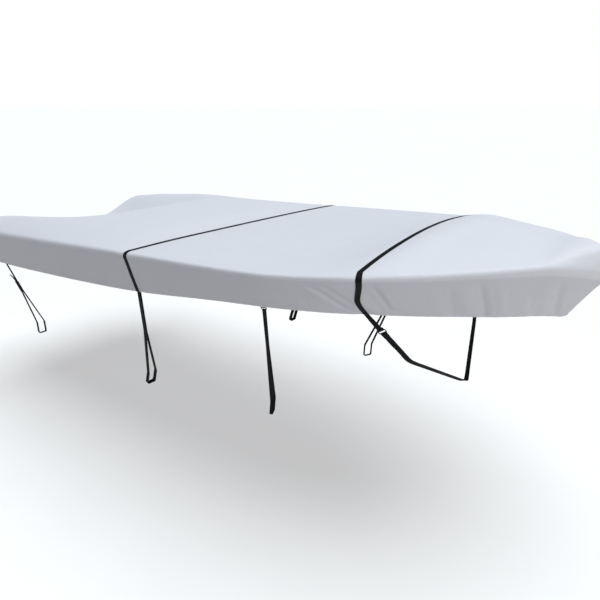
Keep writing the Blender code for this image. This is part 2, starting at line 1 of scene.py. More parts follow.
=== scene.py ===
"""Looks of a fitted cover for an open boat: coated cloth, webbing, plastic loops and stitching.

Metres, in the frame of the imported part: +X towards the bow, +Y to port, +Z up, with the origin
under the top amidships. The tables repeat the part's own sections, so every sheet lies on its
solid. Heights in them are above the ground, and `lift` brings them into the frame.
"""

import json
import math

import bmesh
import bpy
from mathutils import Matrix, Vector, noise

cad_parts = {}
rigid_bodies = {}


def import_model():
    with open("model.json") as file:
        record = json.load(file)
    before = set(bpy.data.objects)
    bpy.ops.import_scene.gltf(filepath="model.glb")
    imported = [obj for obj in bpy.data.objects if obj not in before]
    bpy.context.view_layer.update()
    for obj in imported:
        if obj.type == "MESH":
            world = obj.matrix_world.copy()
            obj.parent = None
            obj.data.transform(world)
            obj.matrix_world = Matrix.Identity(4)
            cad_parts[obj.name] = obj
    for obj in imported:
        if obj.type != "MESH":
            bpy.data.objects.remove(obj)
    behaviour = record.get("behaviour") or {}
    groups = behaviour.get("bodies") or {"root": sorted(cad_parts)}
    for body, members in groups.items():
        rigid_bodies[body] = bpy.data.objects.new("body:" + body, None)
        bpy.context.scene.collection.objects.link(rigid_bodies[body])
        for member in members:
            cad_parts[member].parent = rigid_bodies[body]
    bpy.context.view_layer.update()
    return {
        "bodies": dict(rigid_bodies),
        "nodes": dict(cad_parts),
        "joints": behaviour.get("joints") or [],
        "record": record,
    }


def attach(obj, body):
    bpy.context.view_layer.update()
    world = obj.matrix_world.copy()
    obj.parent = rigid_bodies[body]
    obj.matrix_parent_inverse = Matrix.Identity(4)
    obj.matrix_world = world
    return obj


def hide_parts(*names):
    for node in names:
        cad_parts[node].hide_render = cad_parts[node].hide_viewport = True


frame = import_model()

# ---- sizes of the cover ----
CLOTH = 0.002            # thickness of the sheet in the part
SHOWN_CLOTH = 0.0014     # and as it is shown
STERN = -1.85            # x of the transom edge
BOW = 2.05               # x of the tip of the top
ROLL = 0.021             # size of the rounded shoulder between top and skirt
TENTED = (1.36, 1.56)    # where the crown of the top turns into a ridge towards the bow
ROUNDED = (1.86, 1.97)   # and where that ridge turns into the rounded nose
LIP_PLUMB = 0.8          # how far the lip of the top hangs straight down, and not as the skirt
STRAP_SOFTENS = 0.016    # how much further in the shoulder starts under a strap
STRAP_PULL = 0.010       # how far the fore strap draws the hem in
STRAYS = {"aft": (-0.009, -0.006), "fore": (-0.013, 0.038)}   # of the straps, down a skirt,
STRAY_BETWEEN = ((0.0, 0.6), (0.5, 1.2))     # each between two shares of the way down it
HOLLOW_FLOOR = 0.22      # half width of the hollow's floor, in front of the motor
HOLLOW_BRIM = 0.71       # and of its brim
HEM = 0.022              # height of the elastic hem casing
HEM_TUCK = 0.006         # how far the elastic draws the hem in
STRAP_AFT = 0.132        # x where the aft strap crosses the edge
STRAP_FORE = 1.372       # x where the fore strap crosses the edge
AFT_HALF = 0.0125        # half their width, measured along x
FORE_HALF = 0.011
PORT = Vector((1, -1, 1))    # turns a place on the starboard side into its port one

# How full the crown is across the cover, as a power, and how that changes between two x.
FULLNESS = 4.0
FULLNESS_CHANGES = ((-2.0, (0.2, 1.2)), (-0.8, TENTED), (1.0, ROUNDED))

SECTION_COLUMNS = (
    "x", "half_beam", "edge", "crown", "trough", "drop", "hem_x", "hem_beam", "hem")
SECTIONS = (
    (-1.850, 0.740, 1.094, 0.097, 0.187, 0.030, -1.824, 0.732, 0.880),
    (-1.845, 0.770, 1.094, 0.097, 0.187, 0.030, -1.821, 0.750, 0.880),
    (-1.825, 0.792, 1.095, 0.097, 0.187, 0.030, -1.808, 0.764, 0.881),
    (-1.780, 0.803, 1.097, 0.098, 0.187, 0.030, -1.772, 0.774, 0.883),
    (-1.500, 0.828, 1.113, 0.121, 0.190, 0.030, -1.498, 0.796, 0.897),
    (-1.100, 0.848, 1.141, 0.127, 0.156, 0.030, -1.098, 0.811, 0.921),
    (-0.600, 0.861, 1.177, 0.088, 0.004, 0.030, -0.598, 0.815, 0.954),
    (-0.100, 0.866, 1.212, 0.048, 0.000, 0.030, -0.099, 0.808, 0.989),
    (0.145, 0.866, 1.228, 0.010, 0.000, 0.030, 0.143, 0.798, 1.009),
    (0.660, 0.857, 1.253, 0.016, 0.000, 0.026, 0.650, 0.748, 1.058),
    (0.940, 0.840, 1.268, 0.012, 0.000, 0.024, 0.915, 0.712, 1.077),
    (1.150, 0.799, 1.283, 0.034, 0.000, 0.023, 1.105, 0.663, 1.088),
    (1.365, 0.729, 1.302, 0.100, 0.000, 0.023, 1.290, 0.578, 1.093),
    (1.500, 0.646, 1.311, 0.120, 0.000, 0.024, 1.410, 0.496, 1.092),
    (1.620, 0.553, 1.319, 0.104, 0.000, 0.026, 1.515, 0.417, 1.090),
    (1.740, 0.450, 1.328, 0.080, 0.000, 0.030, 1.622, 0.331, 1.089),
    (1.850, 0.333, 1.335, 0.061, 0.000, 0.036, 1.718, 0.256, 1.088),
    (1.900, 0.277, 1.337, 0.059, 0.000, 0.038, 1.768, 0.206, 1.087),
    (1.930, 0.236, 1.334, 0.061, 0.000, 0.040, 1.801, 0.170, 1.085),
    (1.960, 0.186, 1.329, 0.063, 0.000, 0.042, 1.831, 0.132, 1.083),
    (1.990, 0.130, 1.320, 0.066, 0.000, 0.044, 1.862, 0.092, 1.079),
    (2.010, 0.091, 1.312, 0.065, 0.000, 0.045, 1.883, 0.065, 1.076),
    (2.030, 0.052, 1.302, 0.053, 0.000, 0.046, 1.904, 0.039, 1.072),
    (2.042, 0.026, 1.294, 0.032, 0.000, 0.046, 1.917, 0.020, 1.069),
    (BOW, 0.000, 1.290, 0.000, 0.000, 0.046, 1.926, 0.000, 1.068),
)


def column(name):
    """One named column of the section table."""
    place = SECTION_COLUMNS.index(name)
    return [row[place] for row in SECTIONS]


def monotone_slopes(xs, ys):
    """Slopes of a smooth curve through the points that never overshoots them."""
    steps = [(ys[i + 1] - ys[i]) / (xs[i + 1] - xs[i]) for i in range(len(xs) - 1)]
    slopes = [steps[0]]
    for before, after in zip(steps, steps[1:]):
        same_way = before * after > 0
        slopes.append(2 * before * after / (before + after) if same_way else 0.0)
    slopes.append(steps[-1])
    return slopes


STATION_X = column("x")
CURVES = {}
for column_name in SECTION_COLUMNS[1:]:
    values = column(column_name)
    CURVES[column_name] = (values, monotone_slopes(STATION_X, values))


def at(name, x):
    """A column of the section table, read smoothly at any x."""
    values, slopes = CURVES[name]
    x = min(max(x, STATION_X[0]), STATION_X[-1])
    i = max(k for k in range(len(STATION_X) - 1) if STATION_X[k] <= x)
    span = STATION_X[i + 1] - STATION_X[i]
    t = (x - STATION_X[i]) / span
    return ((1 + 2 * t) * (1 - t) ** 2 * values[i] + t * (1 - t) ** 2 * span * slopes[i]
            + t * t * (3 - 2 * t) * values[i + 1] + t * t * (t - 1) * span * slopes[i + 1])


def ramp(value, start, end):
    """0 before start, 1 after end, and a soft step between them."""
    t = min(max((value - start) / (end - start), 0.0), 1.0)
    return t * t * (3 - 2 * t)


def top_height(x, y):
    """Height of the outside of the top above the ground."""
    side = min(abs(y) / max(at("half_beam", x), 1e-6), 1.0)
    fullness = FULLNESS
    for change, between in FULLNESS_CHANGES:
        fullness += change * ramp(x, *between)
    hollow = 1 - ramp(abs(y), HOLLOW_FLOOR, HOLLOW_BRIM)
    return at("edge", x) + at("crown", x) * (1 - side ** fullness) - at("trough", x) * hollow


MOUNT_HEIGHT = top_height(0.0, 0.0) - CLOTH


def lift(point):
    """From a height above the ground to the part's own frame."""
    return Vector((point[0], point[1], point[2] - MOUNT_HEIGHT))


# ---- fineness of what is shown ----
TOP_STEP = 0.016         # between the cross rows of the top
LEAST_STEP = 0.0008      # and at the tip, where the edge turns across
SKIRT_STEP = 0.008       # between the upright rows of a side skirt
SHOULDER_STEPS = 9       # steps round the shoulder
LIP_STEPS = 3            # rows from the shoulder down to the seam
SKIRT_ROWS = 26          # rows of a skirt above its hem casing
HEM_ROWS = 7             # rows of the casing
HALF_ACROSS = 30         # steps from the middle of the top to its side
UPPER_RINGS = SHOULDER_STEPS + LIP_STEPS + 1             # points of a profile in the top panel

# ---- how the cloth lies ----
LAP = 0.010              # how far the skirt runs up behind the top's turned edge
SKIRT_INSET = 0.0012     # how far the skirt lies behind that edge
TURNED_EDGE = 0.0005     # how far the folded hem of the top stands out over its stitches
CASING_SWELL = 0.0036    # how far the elastic in its casing stands out
PUCKER = 0.0020          # height of the gathers that the elastic draws up
PUCKER_PITCH = 0.030     # from one gather to the next
SAG = 0.006              # how far the skirt hangs in from straight by the flared bow
SLACK = 0.0022           # irregular waviness of a skirt between seam and hem
SWELL = 0.0030           # and of the stretched top
PRESS = 0.0012           # how far a strap presses the top down
DIP = 0.004              # and how much further the fore strap presses the ridge
DIP_ENDS = (0.35, 0.62)  # |y| between which that fades out
PRESS_SPREAD = 0.028     # how far from a strap its press is felt
HELD_SPREAD = 0.030      # how far from it the skirt is held smooth
PULL_SPREAD = 0.040      # and how far from it the shoulder is softer and the hem drawn in
FLARED = (0.7, 1.3)      # x between which the bow starts to flare
GATHER_FADE = 0.030      # height above the hem in which the gathers fade
GATHER_BASE = 0.55       # strength of the gathers, and how much it comes and goes
CALM_EDGE = (ROLL, 0.16)                     # how far in from the edge the swell grows
CALM_STERN = (STERN + 1.3 * ROLL, -1.70)     # and x between which it grows
FOLD_FADES = (0.12, 0.08)    # half of the share of the skirt in which a fold starts and ends

# Soft unevenness: how strong it is, its size one way and the other, and its seed. On a skirt the
# first size runs along it, and the second is a part of its depth.
SWELLS = ((1.0, 0.42, 0.42, 3.1), (0.30, 0.10, 0.16, 8.7))
SLACK_WAVES = ((1.0, 0.16, 1 / 1.3, 4.2), (0.5, 0.06, 1 / 2.0, 9.1))

# Soft folds in a side skirt: where each starts at the seam and ends at the hem (x of the edge
# above it), its half width, how deep it is, and the part of the skirt it runs down (0 is the
# seam, 1 the hem). A negative depth stands proud.
FOLD_COLUMNS = ("x_seam", "x_hem", "half_width", "depth", "first", "last")
FOLDS = (
    (-0.100, -0.060, 0.070, 0.0030, 0.30, 0.62),
    (1.125, 1.310, 0.020, -0.0020, 0.20, 0.80),
    (1.162, 1.347, 0.020, 0.0045, 0.18, 0.88),
    (1.212, 1.388, 0.018, 0.0035, 0.12, 0.74),
    (1.364, 1.451, 0.018, 0.0030, 0.25, 0.90),
    (1.402, 1.484, 0.022, 0.0050, 0.15, 0.86),
    (1.445, 1.520, 0.022, -0.0020, 0.20, 0.80),
    (1.624, 1.695, 0.026, 0.0030, 0.22, 0.96),
    (1.678, 1.752, 0.018, -0.0020, 0.25, 0.90),
    (1.716, 1.815, 0.022, 0.0055, 0.16, 0.98),
    (1.775, 1.875, 0.022, -0.0030, 0.25, 0.92),
    (1.896, 1.962, 0.020, 0.0030, 0.45, 0.95),
    (1.942, 2.017, 0.018, 0.0040, 0.20, 0.95),
)
# Sharper creases that lie in and beside those folds.
CREASES = (
    (-0.620, -0.600, 0.016, 0.0009, 0.25, 0.75),
    (0.560, 0.600, 0.014, 0.0008, 0.30, 0.80),
    (1.060, 1.190, 0.009, 0.0010, 0.30, 0.70),
    (1.150, 1.335, 0.006, 0.0022, 0.16, 0.84),
    (1.176, 1.360, 0.006, -0.0018, 0.22, 0.80),
    (1.222, 1.396, 0.006, 0.0020, 0.10, 0.70),
    (1.372, 1.462, 0.006, 0.0022, 0.28, 0.90),
    (1.408, 1.490, 0.005, 0.0036, 0.10, 0.80),
    (1.430, 1.506, 0.005, -0.0016, 0.16, 0.70),
    (1.452, 1.523, 0.006, 0.0018, 0.26, 0.70),
    (1.560, 1.622, 0.009, 0.0010, 0.30, 0.90),
    (1.640, 1.705, 0.007, 0.0020, 0.26, 0.94),
    (1.724, 1.822, 0.005, 0.0038, 0.16, 0.98),
    (1.742, 1.846, 0.006, -0.0024, 0.26, 0.96),
    (1.800, 1.892, 0.008, 0.0012, 0.30, 0.90),
    (1.884, 1.950, 0.005, 0.0022, 0.40, 0.86),
    (1.948, 2.022, 0.005, 0.0034, 0.18, 0.94),
    (1.968, 2.034, 0.004, -0.0016, 0.22, 0.90),
)


def uneven(first, second, seed):
    """Soft irregular waviness from about -1 to 1."""
    return noise.noise(Vector((first, second, seed)))


def layered(layers, first, second):
    """Soft irregular waviness of several sizes together."""
    return sum(
        strength * uneven(first / long, second / wide, seed)
        for strength, long, wide, seed in layers)


def near_strap(x, strap, spread):
    """1 at a strap over the cover, fading to 0 a spread away from it."""
    return math.exp(-((x - strap) / spread) ** 2)


def stray(strap, share):
    """How far along x a strap has strayed from its place, a share of the way down the skirt."""
    return sum(
        far * ramp(share, *between) for far, between in zip(STRAYS[strap], STRAY_BETWEEN))


def under_strap(x, spread, share=0.0):
    """1 under either strap over the cover, fading to 0 a spread away from it."""
    aft = near_strap(x, STRAP_AFT + stray("aft", share), spread)
    return aft + near_strap(x, STRAP_FORE + stray("fore", share), spread)


def fold_depth(x, down):
    """How far the skirt is drawn in by its folds at x, a share `down` of the way to the hem."""
    starts, ends = FOLD_FADES
    total = 0.0
    for row in FOLDS + CREASES:
        fold = dict(zip(FOLD_COLUMNS, row))
        middle = fold["x_seam"] + (fold["x_hem"] - fold["x_seam"]) * down
        if abs(x - middle) < 4 * fold["half_width"]:
            run = ramp(down, fold["first"] - starts, fold["first"] + starts)
            run *= 1 - ramp(down, fold["last"] - ends, fold["last"] + ends)
            total += fold["depth"] * run * math.exp(-((x - middle) / fold["half_width"]) ** 2)
    return total


def slack(x, along, down, length):
    """The skirt's waviness and, near the hem, the gathers of its elastic."""
    free = 1 - under_strap(x, HELD_SPREAD, down)
    waved = SLACK * layered(SLACK_WAVES, along, down) * math.sin(math.pi * min(max(down, 0.0), 1.0)) ** 0.5
    phase = along / PUCKER_PITCH + 1.4 * uneven(along / 0.16, 0.0, 5.0)
    strength = GATHER_BASE * (1 + uneven(along / 0.30, 2.0, 1.7))
    from_hem = (1 - down) * length
    gathered = PUCKER * strength * math.sin(math.tau * phase) * math.exp(-from_hem / GATHER_FADE)
    return (waved + gathered * ramp(down, 0.3, 0.7)) * free


def shown_height(x, y):
    """Height of the top with the slight swell of stretched cloth and the press of the straps."""
    inside = ramp(at("half_beam", x) - abs(y), *CALM_EDGE) * ramp(x, *CALM_STERN)
    swell = layered(SWELLS, x, y)
    pressed = under_strap(x, PRESS_SPREAD)
    dip = DIP * near_strap(x, STRAP_FORE, PRESS_SPREAD) * (1 - ramp(abs(y), *DIP_ENDS))
    return top_height(x, y) + inside * (SWELL * swell * (1 - pressed) - PRESS * pressed) - dip


# ---- the edge of the cover: shoulder, seam, skirt and hem ----
def edge_place(x):
    """A point of the starboard edge and the level direction that points out of it."""
    if x >= BOW:
        return Vector((BOW, 0.0)), Vector((1.0, 0.0))
    reach = 0.0005
    before = max(x - reach, STERN)
    after = min(x + reach, BOW)
    fall = (at("half_beam", after) - at("half_beam", before)) / (after - before)
    return Vector((x, -at("half_beam", x))), Vector((-fall, -1.0)).normalized()


def edge_profile(place, outward, x, foot, along):
    """Points of the cloth's outside from the top, over the shoulder and down to the hem.

    `foot` is where the hem hangs, and `along` a distance that tells one stretch of hem from
    another. Each point comes with the way the cloth runs on there. The first UPPER_RINGS
    points belong to the top panel, and the skirt starts behind the last of them.
    """
    level = Vector((outward.x, outward.y, 0.0))
    roll_in = ROLL + STRAP_SOFTENS * under_strap(x, PULL_SPREAD)
    inner = place - outward * roll_in
    reach = 0.004
    height = top_height(inner.x, inner.y)
    behind = inner - outward * reach
    slope = (height - top_height(behind.x, behind.y)) / reach
    start = Vector((inner.x, inner.y, height))
    blunt = ramp(x, *ROUNDED)
    rise = (height + slope * roll_in) * (1 - blunt) + at("edge", x) * blunt
    corner = Vector((place.x, place.y, rise))
    lean = (foot - corner).normalized()
    plumb = (lean * (1 - LIP_PLUMB) - Vector((0.0, 0.0, LIP_PLUMB))).normalized()
    end = corner + plumb * ROLL
    points = []
    for k in range(SHOULDER_STEPS + 1):
        t = k / SHOULDER_STEPS
        point = start * (1 - t) ** 2 + corner * 2 * t * (1 - t) + end * t * t
        points.append((point, (corner - start) * (1 - t) + (end - corner) * t))
    seam = corner + plumb * at("drop", x)
    down = (foot - seam).normalized()
    for k in range(1, LIP_STEPS + 1):
        out = TURNED_EDGE if k == LIP_STEPS - 1 else 0.0
        points.append((end.lerp(seam, k / LIP_STEPS) + level * out, plumb))
    length = (foot - seam).length
    hem_start = 1 - HEM / length
    shares = [-LAP / length] + [hem_start * k / SKIRT_ROWS for k in range(SKIRT_ROWS + 1)]
    shares += [hem_start + (1 - hem_start) * k / HEM_ROWS for k in range(1, HEM_ROWS + 1)]
    for share in shares:
        inward = SKIRT_INSET + fold_depth(x, share) + slack(x, along, share, length)
        inward += SAG * ramp(x, *FLARED) * math.sin(math.pi * min(max(share, 0.0), 1.0))
        inward += HEM_TUCK * ramp(share, hem_start - 0.05, 1.05)
        pulled = near_strap(x, STRAP_FORE + stray("fore", share), PULL_SPREAD)
        inward += STRAP_PULL * pulled * ramp(share, 0.70, 1.0)
        in_casing = (share - hem_start) / (1 - hem_start)
        if 0 < in_casing < 1:
            inward -= CASING_SWELL * math.sin(math.pi * in_casing ** 1.5) ** 0.8
        run = plumb if share < 0 else down
        points.append((seam + run * length * share - level * inward, run))
    return points


def hem_foot(x):
    """Where the starboard hem hangs at x, before its elastic draws it in."""
    return Vector((at("hem_x", x), -at("hem_beam", x), at("hem", x)))


def side_line(x):
    """The edge of the starboard side at x."""
    place, outward = edge_place(x)
    return edge_profile(place, outward, x, hem_foot(x), x)


def stern_line(y):
    """The edge of the transom at y."""
    corner, outward = edge_place(STERN)
    inner = corner - outward * ROLL
    place = Vector((inner.x - ROLL, y))
    fall = at("edge", STERN) - at("hem", STERN)
    draw = at("hem_beam", STERN) / at("half_beam", STERN)
    foot = Vector((at("hem_x", STERN), y * draw, top_height(place.x, y) - fall))
    return edge_profile(place, Vector((-1.0, 0.0)), STERN, foot, STERN - abs(inner.y) + y)


def mirrored(pairs):
    """The same points and directions on the port side."""
    return [(point * PORT, facing * PORT) for point, facing in pairs]


def stern_lines(steps):
    """Profiles round the transom from its starboard corner to its port one."""
    corner = side_line(STERN)
    inner = -corner[0][0].y
    half = [stern_line(-inner * k / steps) for k in range(steps)]
    return [corner] + half[:0:-1] + [mirrored(line) for line in half] + [mirrored(corner)]


def squared(before, middle, after):
    """The middle of three neighbouring profiles, each point with the way out of the cloth."""
    result = []
    for (first, _), (point, run), (last, _) in zip(before, middle, after):
        result.append((point, run.cross(last - first).normalized()))
    return result


def side_profile(x):
    """The edge of the starboard side at x, each point with the way out of the cloth."""
    reach = 0.0015
    return squared(side_line(x - reach), side_line(x), side_line(x + reach))


def top_row(x):
    """Points across the top at a station, from the starboard shoulder to the port one."""
    edge = side_line(x)[0][0]
    row = []
    for k in range(1 - HALF_ACROSS, HALF_ACROSS):
        y = -edge.y * k / HALF_ACROSS
        reach = 0.002
        slope_x = top_height(edge.x + reach, y) - top_height(edge.x - reach, y)
        slope_y = top_height(edge.x, y + reach) - top_height(edge.x, y - reach)
        facing = Vector((-slope_x, -slope_y, 2 * reach)).normalized()
        row.append((Vector((edge.x, y, shown_height(edge.x, y))), facing))
    return row


def stations(apart):
    """x of the rows of a sheet, from the stern to the bow, evenly apart round the edge."""
    places = [STERN]
    while places[-1] < BOW:
        x = places[-1]
        after = min(x + 0.002, BOW)
        rise = (at("half_beam", after) - at("half_beam", x)) / (after - x)
        places.append(x + max(apart / math.sqrt(1 + rise * rise), LEAST_STEP))
    places[-1] = BOW
    return places


# ---- making meshes ----
MERGE = 0.00002          # points nearer than this are one


def run_along(points):
    """How far along a line each of its points is."""
    far = [0.0]
    for point, after in zip(points, points[1:]):
        far.append(far[-1] + (after - point).length)
    return far


def lay_grid(made, rows):
    """Lay a grid of quads over rows of points, with a UV map in metres along and across it."""
    wide, long = len(rows[0]) - 1, len(rows) - 1
    grid = bmesh.ops.create_grid(made, x_segments=wide, y_segments=long, size=0.5)
    layer = made.loops.layers.uv.verify()
    across = [run_along(row) for row in rows]
    along = run_along([row[wide // 2] for row in rows])
    places = {}
    for vertex in grid["verts"]:
        i, j = round((vertex.co.x + 0.5) * wide), round((vertex.co.y + 0.5) * long)
        places[vertex] = (across[j][i] - across[j][wide // 2], along[j])
        vertex.co = lift(rows[j][i])
    for face in {face for vertex in grid["verts"] for face in vertex.link_faces}:
        for loop in face.loops:
            loop[layer].uv = places[loop.vert]


def merge(made):
    """Close a mesh's seams and drop the faces that shrank to nothing."""
    bmesh.ops.remove_doubles(made, verts=made.verts, dist=MERGE)
    bmesh.ops.dissolve_degenerate(made, edges=made.edges, dist=MERGE)


def face_away(made, inside):
    """Turn every face away from a point."""
    bmesh.ops.recalc_face_normals(made, faces=made.faces)
    made.normal_update()
    outwards = sum(
        face.calc_area() * face.normal.dot(face.calc_center_median() - inside)
        for face in made.faces)
    if outwards < 0:
        bmesh.ops.reverse_faces(made, faces=made.faces)


def settle(piece):
    """Turn a piece's modifiers into mesh, so that its rims shade as edges."""
    graph = bpy.context.evaluated_depsgraph_get()
    piece.data = bpy.data.meshes.new_from_object(piece.evaluated_get(graph))
    piece.modifiers.clear()


def mesh_from(name, made):
    """A bmesh, used up, as a mesh."""
    mesh = bpy.data.meshes.new(name)
    made.to_mesh(mesh)
    made.free()
    return mesh


def put(name, data):
    """A new object of the scene, with its data."""
    placed = bpy.data.objects.new(name, data)
    bpy.context.collection.objects.link(placed)
    return placed


def make_piece(name, made, finish, stands_for=(), thickness=0.0, rim=0.0, sharp=40):
    """A bmesh as a smooth piece that rides with the part and stands for its nodes.

    A thickness thickens a sheet inwards, and a rim rounds its edges.
    """
    mesh = mesh_from(name, made)
    mesh.materials.append(finish)
    piece = put(name, mesh)
    if thickness:
        solid = piece.modifiers.new("thickness", "SOLIDIFY")
        solid.thickness = thickness
        solid.offset = -1
    if rim:
        bevel = piece.modifiers.new("rim", "BEVEL")
        bevel.width = rim
        bevel.segments = 2
        bevel.limit_method = "ANGLE"
        bevel.angle_limit = math.radians(60)
    if thickness or rim:
        settle(piece)
    piece.data.shade_smooth()
    piece.data.set_sharp_from_angle(angle=math.radians(sharp))
    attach(piece, "root")
    if stands_for:
        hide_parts(*stands_for)
    return piece


# ---- the cloth ----
INSIDE = Vector((0.0, 0.0, -0.30))                       # a point inside the hull


def points_of(pairs):
    """The points of a list of points and directions."""
    return [point for point, _ in pairs]


def facing_out(pairs):
    """A line from aft forward, each point with the way out of the cloth and not down it."""
    return squared(pairs[:1] + pairs[:-1], pairs, pairs[1:] + pairs[-1:])


def round_edge(side, stern, ring):
    """One ring of the starboard, port and stern profiles, as lines round the cover."""
    starboard = facing_out([line[ring] for line in side])
    stern = facing_out([line[ring] for line in stern[::-1]])
    return [starboard, mirrored(starboard), stern]


def make_cloth(name, grids, finish, stands_for):
    """A sheet of cloth over grids of points, with a UV map in metres."""
    made = bmesh.new()
    for rows in grids:
        lay_grid(made, rows)
    merge(made)
    face_away(made, INSIDE)
    sheet = make_piece(name, made, finish, [stands_for], SHOWN_CLOTH, sharp=50)


def make_top(finish):
    """The crowned top with its rounded shoulder and turned edge. Gives where that is sewn."""
    places = stations(TOP_STEP)
    edges = [side_line(x)[:UPPER_RINGS] for x in places]
    rows = []
    for x, edge in zip(places, edges):
        rows.append(points_of(edge[::-1] + top_row(x) + mirrored(edge)))
    across = [line[:UPPER_RINGS] for line in stern_lines(HALF_ACROSS)]
    grids = [rows, [points_of(line) for line in across]]
    make_cloth("top", grids, finish, "top_panel")
    return round_edge(edges, across, UPPER_RINGS - 2)


def make_skirts(finish):
    """Both side skirts and the stern skirt. Gives where the hem's casing is sewn."""
    starboard = [side_line(x)[UPPER_RINGS:] for x in stations(SKIRT_STEP)]
    stern = [line[UPPER_RINGS:] for line in stern_lines(2 * HALF_ACROSS)]
    port = [mirrored(line) for line in starboard]
    for name, lines, flat, area in (
            ("starboard", starboard, (0.27, 4.40), 0.95),
            ("port", port, (0.27, 4.40), 0.95),
            ("stern", stern, (0.25, 1.56), 0.29)):
        grids = [[points_of(line) for line in lines]]
        make_cloth(f"skirt_{name}_cloth", grids, finish, f"skirt_{name}")
    return round_edge(starboard, stern, SKIRT_ROWS + 1)


# ---- stitching ----
STITCH_PITCH = 0.0050    # from one stitch to the next
STITCH = (0.0036, 0.0007, 0.0006)    # length, breadth and height of a stitch
STITCH_RUN = 160         # stitches made together, which keeps the making quick


def spaced(pairs, pitch):
    """Places evenly apart along a line, each with the way it runs and the way out there."""
    places = []
    left = pitch / 2
    for (point, facing), (after, _) in zip(pairs, pairs[1:]):
        run = after - point
        while left < run.length:
            places.append((point + run * (left / run.length), run.normalized(), facing))
            left += pitch
        left -= run.length
    return places


def make_stitches(name, lines, finish):
    """Lockstitches along lines of points, each point with the way out of the cloth."""
    whole = bmesh.new()
    size = Matrix.Diagonal([measure / 2 for measure in STITCH] + [1.0])
    for line in lines:
        places = spaced(line, STITCH_PITCH)
        for first in range(0, len(places), STITCH_RUN):
            some = bmesh.new()
            for place, run, facing in places[first:first + STITCH_RUN]:
                side = facing.cross(run).normalized()
                turn = Matrix((run, side, run.cross(side))).transposed().to_4x4()
                matrix = Matrix.Translation(lift(place)) @ turn @ size
                bmesh.ops.create_icosphere(some, subdivisions=1, radius=1.0, matrix=matrix)
            mesh = mesh_from("run of stitches", some)
            whole.from_mesh(mesh)
            bpy.data.meshes.remove(mesh)
    make_piece(name, whole, finish, sharp=180)


# ---- the webbing ----
WEB_WIDTH = 0.025        # tie-down webbing
WEB = 0.0016
ACROSS_WEB = 6           # quads across a strip of webbing
SELVEDGE = 0.0005        # rounding of its edges
RAIL_TOP = 0.457         # the trailer's rail that the legs go round, which is left out
RAIL_DEPTH = 0.075
RAIL_HALF = 0.024
RAIL_BEND = 0.006        # how the legs round its corners
REST = 0.0005            # room between webbing and the cloth under or over it
BAR = 0.004              # thickness of the loops' bars
ROUND_BAR = BAR / 2 + REST       # inside radius of webbing folded round a bar
SEWN = 0.012             # a strap's end, folded round a bar and sewn
TAIL_GAP = 0.0006        # between two layers of webbing
LONG_STEP = 0.025        # longest quad of a straight length of webbing

# The hard loops: between the middles of the upper and lower bars, and the half length of each.
LOOP_COLUMNS = ("name", "bars", "upper_half", "lower_half")
LOOPS = {row[0]: dict(zip(LOOP_COLUMNS, row)) for row in (
    ("ring", 0.0125, 0.0155, 0.0155),
    ("slide", 0.018, 0.0160, 0.0160),
    ("tab", 0.0115, 0.0150, 0.0105),
)}

# The legs to the trailer: x of the edge they hang from, how far the middle of their hard loop
# is below the hem, the middle of the rail's top, the rail's turn in plan, the webbing's width,
# how far below the loop its two sides part, and its free end.
LEG_COLUMNS = (
    "name", "loop", "x", "below_hem", "rail_x", "rail_y", "turn", "width", "parted", "tail")
LEGS = (
    ("stern", "ring", -1.325, 0.135, -1.300, -0.642, 0.0, 0.025, 0.08, 0.075),
    ("aft", "ring", STRAP_AFT + stray("aft", 1.0), 0.020, -0.052, -0.642, 0.0, 0.025, 0.25, 0.0),
    ("mid", "tab", 0.907, 0.0101, 0.705, -0.457, 26.0, 0.016, 0.25, 0.0),
)
STERN_END = 0.050        # free end of the stern strap, standing up outside its ring
STERN_END_LEANS = (0.003, 0.010)         # how far out it leans, at its middle and its tip

# Under the hull the fore strap follows these points of it, each with the way the hull runs on
# towards the bow there, which is the way of the webbing's width.
SLIDE_PLACE = Vector((1.349, -0.495, 1.010))
HULL_SIDE = Vector((0.857, 0.514, 0.05))
HULL = (
    (Vector((1.399, -0.388, 0.880)), HULL_SIDE),
    (Vector((1.409, -0.360, 0.847)), Vector((0.83, 0.55, 0.09))),
    (Vector((1.421, -0.328, 0.826)), Vector((0.79, 0.60, 0.13))),
    (Vector((1.527, -0.024, 0.655)), Vector((0.86, 0.46, 0.18))),
    (Vector((1.533, 0.0, 0.648)), Vector((0.98, 0.0, 0.20))),
)
FORE_TAIL = 0.105        # free end of the fore strap
KEEL_BEND = 0.030        # how it rounds the hull's corners
TAIL_STRAIGHT = 0.012    # how far past the slide's bar its two layers start to close
TAIL_JOINED = 0.035      # and how far past it they lie together
PAST_BAR = 0.004         # how far a strap runs on past the bar that it is folded round


class Frame:
    """A place on a strap: its middle, the way down it, its width and the way out of it."""

    def __init__(self, middle, down, width):
        self.middle = middle
        self.down = down.normalized()
        self.width = (width - self.down * self.down.dot(width)).normalized()
        self.out = self.down.cross(self.width)

    def spot(self, down, out):
        """The point this far down the strap and this far out of it."""
        return self.middle + self.down * down + self.out * out

    def round_bar(self, bar, radius, first, last, steps=6):
        """Points round a bar, by angle from straight out, turning towards straight down."""
        points = []
        for i in range(steps + 1):
            angle = math.radians(first + (last - first) * i / steps)
            points.append(self.spot(bar + radius * math.sin(angle), radius * math.cos(angle)))
        return points


